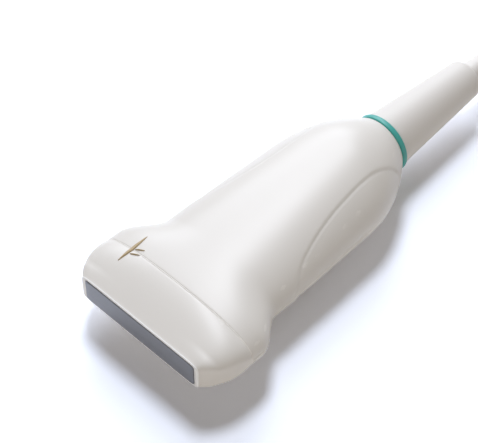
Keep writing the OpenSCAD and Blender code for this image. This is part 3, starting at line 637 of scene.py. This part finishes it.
def makeLens(v):
    rings = [windowRing(v["deep"], v["w"], v["t"])]
    for k in range(v["rows"] + 1):
        a = math.pi / 2 * k / v["rows"]
        inset = v["edge"] * (1 - math.cos(a))
        rings.append(windowRing(v["edge"] * (1 - math.sin(a)), v["w"] - inset, v["t"] - inset))
    for f in (0.9, 0.6, 0.3):
        rings.append(windowRing(0, (v["w"] - v["edge"]) * f, (v["t"] - v["edge"]) * f))
    points = [p for ring in rings for p in ring]
    n = len(ringAngles)
    faces = ringFaces(len(rings), n)
    for base in (0, len(rings) - 1):
        points.append((0, points[base * n][1], axisZ))
        hub = len(points) - 1
        faces += [[hub, base * n + i, base * n + (i + 1) % n] for i in range(n)]
    return meshFrom("lensPad", points, faces, mats["lens"])


place(makeLens(lensSet), "probe", "lens_silicone", "acoustic_lens")

# seam gasket between nose and handle

gasketSet = {"inset": 0.06, "wall": 1.5, "bulge": 0.03}


def makeGasket(v):
    back, gap = shape["seamBack"], shape["seamGap"]
    rings = []
    for u in (0, 0.25, 0.5, 0.75, 1):
        inset = v["inset"] - v["bulge"] * math.sin(math.pi * u)
        rings.append([outlinePoint(back + gap * u, a, inset) for a in ringAngles])
    rings += [[outlinePoint(back + gap * u, a, v["wall"]) for a in ringAngles] for u in (1, 0)]
    # the gasket's lighter colour is partly its own tone and partly a painted highlight
    return loft("seamGasketToneAndHighlight", rings, mats["seam"], closeAlong=True)


place(makeGasket(gasketSet), "probe", "gasket_rubber", "nose_gasket")
print("stage: nose, lens and gasket made")

# handle shells, with a leaf-shaped sunken panel on each side

panelSet = {"front": 39.0, "back": 98.5, "grooveDeep": 0.4, "grooveHalf": 0.62, "sink": 0.25, "soft": 1.3,
            "top": [(41.4, 0.0), (43.5, 11.0), (47.5, 28.5), (53.8, 38.5), (62.9, 46.0), (72.8, 50.0), (82.6, 50.8),
                    (88.7, 45.5), (93.9, 33.0), (96.7, 17.5), (98.0, 0.0)]}
shellSet = {"seamEdge": 0.1, "seamOver": 0.0, "partEdge": 0.06, "gap": 0.03, "wall": 2.2, "step": 0.7,
            "across": 150, "bore": 7.5}


def smoothLookup(v, table):  # smooth curve through the pairs
    k = max(0, min(len(table) - 2, sum(v > t[0] for t in table) - 1))
    (x0, y0), (x1, y1), (x2, y2), (x3, y3) = (table[max(0, min(len(table) - 1, k + i))] for i in (-1, 0, 1, 2))
    h, u = x2 - x1, share(v, x1, x2)
    m1 = (y2 - y0) / (x2 - x0) * h
    m2 = (y3 - y1) / (x3 - x1) * h
    return ((2 * u**3 - 3 * u**2 + 1) * y1 + (u**3 - 2 * u**2 + u) * m1 + (3 * u**2 - 2 * u**3) * y2 + (u**3 - u**2) * m2)


panelLine = []  # upper edge of the panel, as points along the surface: distance behind the lens, girth
for k in range(121):
    s = mix(panelSet["top"][0][0], panelSet["top"][-1][0], k / 120)
    panelLine.append((s, math.radians(smoothLookup(s, panelSet["top"]))))


def girth(s, angle):  # length along the outline from the side to the angle
    steps = 14
    points = [outlinePoint(s, angle * i / steps) for i in range(steps + 1)]
    return sum(math.dist(a, b) for a, b in zip(points, points[1:]))


panelGirth = [(s, girth(s, angle)) for s, angle in panelLine]


def panelDip(s, g):  # how far the surface lies under the plain outline, at girth g from the side
    if s < panelSet["front"] or s > panelSet["back"] + 3 or g > 24:
        return 0.0
    off = min(math.hypot(s - a, g - b) for a, b in panelGirth)
    inside = panelGirth[0][0] < s < panelGirth[-1][0] and g < lookup(s, panelGirth)
    groove = panelSet["grooveDeep"] * math.exp(-(off / panelSet["grooveHalf"]) ** 2)
    sunk = panelSet["sink"] * ramp(off / panelSet["soft"]) if inside else 0.0
    return groove + sunk


def makeShell(name, upper):
    v = shellSet
    start, back = shape["seamBack"] + shape["seamGap"] - v["seamOver"], shape["shellL"]
    sign = 1 if upper else -1
    angles = [math.pi * k / v["across"] for k in range(v["across"] + 1)]
    rows = []
    for k in range(6):  # rolled edge at the seam
        a = math.pi / 2 * k / 5
        rows.append((start + v["seamEdge"] * (1 - math.sin(a)), v["seamEdge"] * (1 - math.cos(a))))
    rows.reverse()
    rows += [(s, 0) for s in stations(start + v["seamEdge"], back - 0.3, v["step"])[1:]]
    rows += [(back - 0.12, 0.08), (back, 0.3)]

    def softEdge(a):  # drop beside the parting line
        deep = mix(0.3, v["partEdge"], share(s, 30, 38))
        return deep * max(0.0, 1 - halfT(s) * min(a, math.pi - a) / 0.4) ** 2

    rings = []
    for s, inset in rows:
        ring = []
        half = []
        for a in angles[:v["across"] // 2 + 1]:
            half.append(inset + softEdge(a) + panelDip(s, girth(s, a)))
        for a, dip in zip(angles, half + half[-2::-1]):
            x, y, z = outlinePoint(s, a, dip)
            ring.append((x, y, axisZ + sign * (z - axisZ + v["gap"])))
        wall = [outlinePoint(s, a, v["wall"]) for a in reversed(angles)]
        if halfT(s) - v["wall"] < v["bore"] + 0.4:
            wall = [(v["bore"] * math.cos(a), lensFaceY + s, axisZ + v["bore"] * math.sin(a)) for a in reversed(angles)]
        ring += [(x, y, axisZ + sign * (z - axisZ + v["gap"])) for x, y, z in wall]
        rings.append(ring)
    count = len(rings[0])
    points = [p for ring in rings for p in ring]
    faces = ringFaces(len(rings), count)
    half = count // 2
    for base in (0, (len(rings) - 1) * count):
        faces += [[base + i, base + i + 1, base + count - 2 - i, base + count - 1 - i] for i in range(half - 1)]
    return meshFrom(name, points, faces, mats["shell"])


for shellName, isUpper, node in (("upperShell", True, "upper_handle_shell"), ("lowerShell", False, "lower_handle_shell")):
    shellPiece = makeShell(shellName, isUpper)
    sharpen(shellPiece, 55)
    place(shellPiece, "probe", "shell_plastic", node)
print("stage: handle shells made")

# orientation mark: raised spindle over the seam and two ticks

markSet = {"x": -19.5, "start": 10.5, "long": 12, "w": 1.3, "high": 0.42, "tickX": -17.2, "tickStarts": [14.4, 16.6],
           "tickLong": 3.0, "tickW": 0.36, "turn": 62, "rows": 28, "across": 12}


def markPiece(x, start, long, w, turn, endShare):
    v = markSet
    rings = []
    for i in range(v["rows"] + 1):
        u = i / v["rows"]
        half = w / 2 * (endShare + (1 - endShare) * math.sin(math.pi * u))
        s = start + long * u
        mid = x + (s - start - long / 2) * math.tan(math.radians(turn))
        ring = []
        for k in range(v["across"] + 1):
            a = math.pi * k / v["across"]
            px = mid + half * math.cos(a)
            lift = 0.1 * math.sin(a) + v["high"] * math.sin(a) * math.sin(math.pi * clamp(u * 0.9 + 0.05)) ** 0.5
            ring.append((px, lensFaceY + s, axisZ + surfaceZ(px, s) - 0.05 + lift))
        for k in range(v["across"] + 1):
            px = mid - half * math.cos(math.pi * k / v["across"])
            ring.append((px, lensFaceY + s, axisZ + surfaceZ(px, s) - 0.35))
        rings.append(ring)
    return rings


def makeMark(v):
    points, faces = [], []
    shapes = [markPiece(v["x"], v["start"], v["long"], v["w"], 0, 0.12)]
    short = v["tickLong"] * math.cos(math.radians(v["turn"]))
    shapes += [markPiece(v["tickX"], s, short, v["tickW"] / math.cos(math.radians(v["turn"])), v["turn"], 0.35)
               for s in v["tickStarts"]]
    for rings in shapes:
        base, count = len(points), len(rings[0])
        points += [p for ring in rings for p in ring]
        faces += [[base + i for i in face] for face in ringFaces(len(rings), count)]
        faces += [[base + i for i in range(count)], [base + (len(rings) - 1) * count + i for i in range(count)]]
    return meshFrom("mark", points, faces, mats["mark"])


mark = makeMark(markSet)
sharpen(mark, 50)
place(mark, "probe", "mark_ink", "orientation_mark")


# turned pieces round the axis: profile of (distance behind the lens face, radius)

def turned(name, profile, material, count=96, bend=None):
    rings = []
    for s, r in profile:
        dx = bend(s) if bend else 0
        rings.append([(dx + r * math.cos(2 * math.pi * k / count), lensFaceY + s, axisZ + r * math.sin(2 * math.pi * k / count))
                      for k in range(count)])
    points = [p for ring in rings for p in ring]
    return meshFrom(name, points, ringFaces(len(rings), count, closeAlong=True), material)


def arc(s, r, radius, a0, a1, steps=6):  # profile points round a centre
    turn = [math.radians(mix(a0, a1, k / steps)) for k in range(steps + 1)]
    return [(s + radius * math.cos(a), r + radius * math.sin(a)) for a in turn]


ringSet = {"start": 105, "end": 107, "r": 10.4, "bore": 7.3, "round": 0.5}


def makeRing(v):
    q = v["round"]
    profile = [(v["start"], v["bore"])] + arc(v["start"] + q, v["r"] - q, q, 180, 90) + arc(v["end"] - q, v["r"] - q, q, 90, 0)
    return turned("tealRing", profile + [(v["end"], v["bore"])], mats["ring"])


ringPiece = makeRing(ringSet)
sharpen(ringPiece, 50)
place(ringPiece, "probe", "ring_plastic", "identification_ring")

bootSet = {"start": 107, "end": 147.5, "r1": 9.7, "r2": 6.6, "bore": 4.4, "round": 1.4, "lead": 0.5}


def makeBoot(v):
    q = v["round"]
    profile = [(v["start"], v["bore"])] + arc(v["start"] + v["lead"], v["r1"] - v["lead"], v["lead"], 180, 95)
    for s in stations(v["start"] + 1.2, v["end"] - q - 0.6, 1.5):
        profile.append((s, mix(v["r1"], v["r2"], share(s, v["start"], v["end"]))))
    profile += arc(v["end"] - q, v["r2"] - q + 0.1, q, 86, 12)
    profile += [(v["end"] - 0.05, v["bore"] + 0.25), (v["end"] - 0.35, v["bore"])]
    return turned("reliefBoot", profile, mats["boot"])


bootPiece = makeBoot(bootSet)
sharpen(bootPiece, 60)
place(bootPiece, "probe", "boot_elastomer", "strain_relief_boot")
print("stage: mark, ring and boot made")

# strap: a woven band round both runs of the hank, its end laid back over it

strapSet = {"w": 18, "thick": 0.6, "corner": 3.4, "tabFrom": -20, "tabTo": 14, "edge": 0.25, "wave": 0.12}


def bandRings(path, normals, width, thick, y, edge, wave):
    rings = []
    for k, ((x, z), (nx, nz)) in enumerate(zip(path, normals)):
        half = width / 2 + wave * math.sin(k * 0.9) * math.cos(k * 0.37)
        ring = []
        for sy, sn, a0 in ((1, 1, 0), (-1, 1, 90), (-1, -1, 180), (1, -1, 270)):
            for i in range(4):
                a = math.radians(a0 + 30 * i)
                dy = sy * (half - edge) + edge * math.cos(a)
                dn = sn * (thick / 2 - edge) + edge * math.sin(a)
                ring.append((x + nx * dn, y + dy, z + nz * dn))
        rings.append(ring)
    return rings


def roundedLoop(w, low, high, r, steps=8, straight=14):  # middle line of the band, clockwise from the top right
    points, normals = [], []
    corners = ((w - r, high - r, 90), (w - r, low + r, 0), (-w + r, low + r, -90), (-w + r, high - r, -180))
    for k, (cx, cz, a0) in enumerate(corners):
        for i in range(steps + 1):
            a = math.radians(a0 - 90 * i / steps)
            points.append((cx + r * math.cos(a), cz + r * math.sin(a)))
            normals.append((math.cos(a), math.sin(a)))
        nx, nz = corners[(k + 1) % 4][:2]
        a = math.radians(a0 - 90)
        start = points[-1]
        end = (nx + r * math.cos(a), nz + r * math.sin(a))
        for i in range(1, straight):
            points.append((mix(start[0], end[0], i / straight), mix(start[1], end[1], i / straight)))
            normals.append((math.cos(a), math.sin(a)))
    return points, normals


def makeStrap(v):
    low, high = boxOf("hank_strap")
    y = (low[1] + high[1]) / 2
    half = v["thick"] / 2
    path, normals = roundedLoop(high[0] - half, low[2] + half, high[2] - half, v["corner"])
    rings = bandRings(path, normals, v["w"] - 0.3, v["thick"] - 0.02, y, v["edge"], v["wave"])
    points = [p for ring in rings for p in ring]
    faces = ringFaces(len(rings), 16, closeAlong=True)
    xs = [mix(v["tabFrom"], v["tabTo"], k / 16) for k in range(17)]
    rest = high[2] + half - 0.05
    tab = [(x, rest + 0.9 * ramp(share(x, 6, 14)) ** 2) for x in xs]
    base = len(points)
    tabRings = bandRings(tab, [(0, 1)] * len(tab), v["w"] - 1.2, v["thick"] - 0.1, y + 0.4, v["edge"], v["wave"])
    points += [p for ring in tabRings for p in ring]
    faces += [[base + i for i in face] for face in ringFaces(len(tabRings), 16)]
    faces += [[base + i for i in range(16)], [base + (len(tabRings) - 1) * 16 + i for i in range(16)]]
    return meshFrom("hankStrap", points, faces, mats["strap"])


strap = makeStrap(strapSet)
sharpen(strap, 60)
place(strap, "probe", "strap_tape", "hank_strap")

# connector: all its pieces are placed from the middle of the case, x outwards along the lock

caseLow, caseHigh = boxOf("rear_housing")
caseX = caseLow[0] - 0.1
caseY, caseZ = (caseLow[1] + caseHigh[1]) / 2, (caseLow[2] + caseHigh[2]) / 2
caseL, caseH = caseHigh[1] - caseLow[1], caseHigh[2] - caseLow[2]


def plateRing(x, l, h, r, steps=10):  # rounded rectangle across the lock's axis
    ring = []
    for sy, sz, a0 in ((1, 1, 0), (-1, 1, 90), (-1, -1, 180), (1, -1, 270)):
        for i in range(steps + 1):
            a = math.radians(a0 + 90 * i / steps)
            y, z = sy * (l / 2 - r) + r * math.cos(a), sz * (h / 2 - r) + r * math.sin(a)
            ring.append((caseX + x, caseY + y, caseZ + z))
    return ring


def plateMesh(name, rows, material, loop=True):
    return loft(name, [plateRing(*row) for row in rows], material, closeAlong=loop, capped=not loop)


def rolledEdge(x, sign, l, h, r, size, steps=5, first=0):  # rounded rim that ends at x, as rows
    rows = []
    for k in range(first, steps + 1):
        a = math.pi / 2 * k / steps
        inset = size * (1 - math.cos(a))
        rows.append((x - sign * size * (1 - math.sin(a)), l - 2 * inset, h - 2 * inset, max(0.3, r - inset)))
    return rows


def rodAlongX(x0, x1, r, y=0.0, z=0.0, count=48):  # cutter for a round recess
    turn = [2 * math.pi * k / count for k in range(count)]
    rings = [[(caseX + x, caseY + y + r * math.cos(a), caseZ + z + r * math.sin(a)) for a in turn] for x in (x0, x1)]
    return loft("cutter", rings, mats["block"], capped=True, smooth=False)


def bake(piece, operation, other):
    step = piece.modifiers.new("join", "BOOLEAN")
    step.operation, step.solver, step.object = operation, "EXACT", other
    made = bpy.data.meshes.new_from_object(piece.evaluated_get(bpy.context.evaluated_depsgraph_get()))
    piece.modifiers.clear()
    piece.data = made
    bpy.data.objects.remove(other)


caseSet = {"r": 5, "wall": 2, "half": 13, "part": 0.1, "roll": 0.4, "frontRoll": 1.6, "rearRoll": 2.2, "noseL": 46,
           "noseH": 24, "noseR": 2, "noseOut": 7, "rim": 1.6, "knobGroove": 12.6, "screwY": 24, "screwZ": 13,
           "screwHead": 2.0, "headDeep": 1.5, "bushR": 5.2, "gripRows": 7, "gripPitch": 1.5, "gripDeep": 0.28}


def gripRow(x, v):  # fine ribs round the middle of each half
    u = (x - 3.0) / v["gripPitch"]
    inside = 0 < u < v["gripRows"]
    return v["gripDeep"] * (0.5 - 0.5 * math.cos(2 * math.pi * u)) if inside else 0.0


def caseHalf(name, v, side):
    l, h, r, wall = caseL, caseH, v["r"], v["wall"]
    roll = v["frontRoll"] if side < 0 else v["rearRoll"]
    rows = [(side * v["part"], l - 2 * wall, h - 2 * wall, r - wall)]
    rows += reversed(rolledEdge(side * v["part"], -side, l, h, r, v["roll"]))
    x = v["part"] + v["roll"]
    while x < v["half"] - roll:
        inset = gripRow(x, v)
        rows.append((side * x, l - 2 * inset, h - 2 * inset, r - inset))
        x += v["gripPitch"] / 8
    rows += rolledEdge(side * v["half"], side, l, h, r, roll)
    if side < 0:
        nl, nh, nr, out = v["noseL"], v["noseH"], v["noseR"], v["half"] + v["noseOut"]
        rows += [(-v["half"], nl + 2.4, nh + 2.4, nr + 1.2), (-v["half"] - 0.2, nl + 1, nh + 1, nr + 0.5),
                 (-v["half"] - 0.6, nl + 0.3, nh + 0.3, nr + 0.15), (-v["half"] - 1.2, nl, nh, nr)]
        rows += rolledEdge(-out, -1, nl, nh, nr, 0.5)
        rows += [(-out, nl - 2 * v["rim"] + 0.5, nh - 2 * v["rim"] + 0.5, 0.9),
                 (-out + 0.4, nl - 2 * v["rim"], nh - 2 * v["rim"], 0.7),
                 (-v["half"] + wall, nl - 2 * v["rim"], nh - 2 * v["rim"], 0.7)]
    else:
        g, b = 2 * v["knobGroove"], 2 * v["bushR"]
        rows += [(v["half"], g, g, g / 2), (v["half"] - 0.35, g - 0.5, g - 0.5, g / 2 - 0.25),
                 (v["half"] - 0.35, g - 1.3, g - 1.3, g / 2 - 0.65), (v["half"], g - 1.8, g - 1.8, g / 2 - 0.9),
                 (v["half"], b, b, b / 2), (v["half"] - wall, b, b, b / 2)]
    rows.append((side * (v["half"] - wall), l - 2 * wall, h - 2 * wall, r - wall))
    return plateMesh(name, rows, mats["housing"])


frontCase = caseHalf("frontCase", caseSet, -1)
rearCase = caseHalf("rearCase", caseSet, 1)
for sy in (-1, 1):
    for sz in (-1, 1):
        recess = rodAlongX(caseSet["half"] - caseSet["headDeep"], caseSet["half"] + 2, caseSet["screwHead"],
                           sy * caseSet["screwY"], sz * caseSet["screwZ"])
        bake(rearCase, "DIFFERENCE", recess)
for casePiece, node in ((frontCase, "front_housing"), (rearCase, "rear_housing")):
    sharpen(casePiece, 40)
    place(casePiece, "probe", "housing_plastic", node)

# connector boot: ribbed sleeve where the cable enters

inletSet = {"r1": 5.95, "r2": 8.55, "ribs": 5, "deep": 0.9, "bore": 4.3, "flange": 2.6}


def makeInlet(v):
    low, high = boxOf("connector_boot")
    y0, y1 = low[1], caseLow[1]
    x0, z0 = (low[0] + high[0]) / 2, (low[2] + high[2]) / 2
    profile = [(y0 + 0.2, v["bore"])] + [(y0 + 0.5 * (1 - math.cos(a)), v["r1"] - 0.9 + 0.9 * math.sin(a))
                                         for a in (0, 0.4, 0.8, 1.2, math.pi / 2)]
    for k in range(1, 61):
        u = k / 60
        y = mix(y0 + 0.7, y1 - v["flange"], u)
        rib = max(0.0, math.sin(math.pi * u * 2 * v["ribs"])) ** 0.6
        groove = v["deep"] * rib * ramp(share(1 - u, 0, 0.08))
        profile.append((y, mix(v["r1"], v["r2"], share(y, y0, y1)) - groove))
    profile += [(y1 - v["flange"] + 0.3, v["r2"]), (y1 - 0.3, v["r2"]), (y1 - 0.02, v["r2"] - 0.3),
                (y1 - 0.02, v["bore"])]
    return loft("inletSleeve", [roundRing((x0, z0), y, r, 72) for y, r in profile], mats["boot"], closeAlong=True)


inlet = makeInlet(inletSet)
sharpen(inlet, 45)
place(inlet, "probe", "boot_elastomer", "connector_boot")

# lock knob: fluted base, winged grip, recess for its screw

knobSet = {"from": 13.3, "baseTo": 16.3, "to": 25.3, "r": 11, "flutes": 28, "fluteDeep": 0.35, "wingL": 30, "wingT": 7,
           "roll": 1.3, "recess": 2.31, "recessFrom": 23.9, "bore": 3.6}


def makeKnob(v):
    count = 168
    rings = []
    for x, r in ((v["from"], v["r"] - 0.5), (v["from"] + 0.15, v["r"] - 0.15), (v["from"] + 0.5, v["r"]),
                 (v["baseTo"] - 0.7, v["r"]), (v["baseTo"] - 0.3, v["r"] - 0.12), (v["baseTo"], v["r"] - 0.6)):
        ring = []
        for k in range(count):
            a = 2 * math.pi * k / count
            rr = r - v["fluteDeep"] * max(0.0, math.cos(a * v["flutes"])) ** 2
            ring.append((caseX + x, caseY + rr * math.cos(a), caseZ + rr * math.sin(a)))
        rings.append(ring)
    base = loft("knobBase", rings, mats["knob"], capped=True)
    t, l, q = v["wingT"], v["wingL"], v["roll"]
    rows = reversed(rolledEdge(v["baseTo"], -1, t, l, t / 2 - 0.01, 0.5))
    rows = list(rows) + [(v["baseTo"] + 2, t - 0.3, l, t / 2 - 0.16), (v["to"] - 3.5, t - 0.5, l - 0.3, t / 2 - 0.26)]
    rows += rolledEdge(v["to"], 1, t - 0.5, l - 0.3, t / 2 - 0.26, q)
    wing = plateMesh("lockKnob", rows, mats["knob"], loop=False)
    bake(wing, "UNION", base)
    bake(wing, "DIFFERENCE", rodAlongX(v["recessFrom"], v["to"] + 1, v["recess"]))
    bake(wing, "DIFFERENCE", rodAlongX(v["from"] - 1, v["recessFrom"] + 0.5, v["bore"]))
    return wing


knob = makeKnob(knobSet)
sharpen(knob, 40)
place(knob, "lock", "knob_plastic", "lock_knob")
print("stage: strap and connector made")

# finishes of the pieces that keep their CAD shape

keptFinishes = {
    "resin": ["outer_matching_layer", "inner_matching_layer"], "ceramic": ["piezo_array"], "darkResin": ["backing_block"],
    "innerPlastic": ["array_carrier", "cable_clamp", "connector_clamp"], "film": ["upper_flex_circuit", "lower_flex_circuit"],
    "laminate": ["upper_board", "lower_board", "connector_board"], "block": ["board_connectors", "contact_block"],
    "steel": ["board_chassis", "board_screws", "clamp_screws", "shield_ferrule", "housing_screws", "lock_shaft", "lock_pin",
              "retaining_ring", "knob_screw"],
    "foil": ["shield_sleeve"], "coax": ["coax_bundle"], "gold": ["contact_pins"], "bronze": ["shaft_bush"],
    "gasket": ["connector_gasket"],
}
for finish, nodes in keptFinishes.items():
    for node in nodes:
        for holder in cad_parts[node].material_slots:
            holder.material = mats[finish]
print("stage: kept pieces finished")
